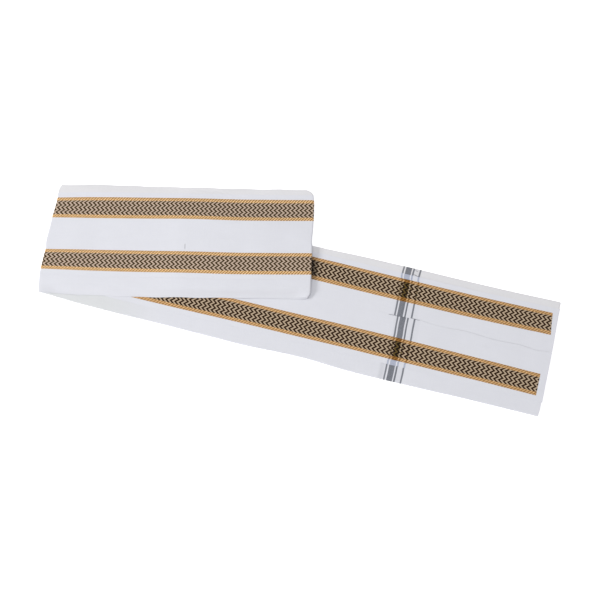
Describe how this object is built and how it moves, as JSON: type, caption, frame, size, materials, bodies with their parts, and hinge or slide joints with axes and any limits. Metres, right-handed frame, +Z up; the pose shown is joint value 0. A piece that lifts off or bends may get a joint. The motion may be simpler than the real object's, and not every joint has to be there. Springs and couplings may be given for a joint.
{
  "type": "folded angavastram shoulder cloth",
  "caption": "Long white cotton shoulder cloth with woven gold zigzag borders and grey stripes at its end, folded to a narrow band and doubled back on itself, lying flat.",
  "frame": {"origin": "on the table under the middle of the folded cloth's bounding box", "axes": "+X along the cloth's longest extent, from the left fold towards the cut end; +Y away from the viewer; +Z up"},
  "size_m": [0.5622, 0.2564, 0.0092],
  "materials": {
    "cotton": "plain white cotton weave with thin grey stripes near the cut end, matte",
    "cotton_plies": "plain white cotton weave, edges of the plies folded inside, matte",
    "zari": "woven brown and beige zigzag between two gold zari lines, faint metallic sheen"
  },
  "bodies": {
    "root": {"hidden_plies": "cotton_plies", "lower_far_leaf": "cotton", "lower_near_leaf": "cotton", "lower_far_border": "zari", "lower_near_border": "zari", "upper_far_leaf": "cotton", "upper_near_leaf": "cotton", "upper_far_border": "zari", "upper_near_border": "zari"}
  },
  "joints": []
}
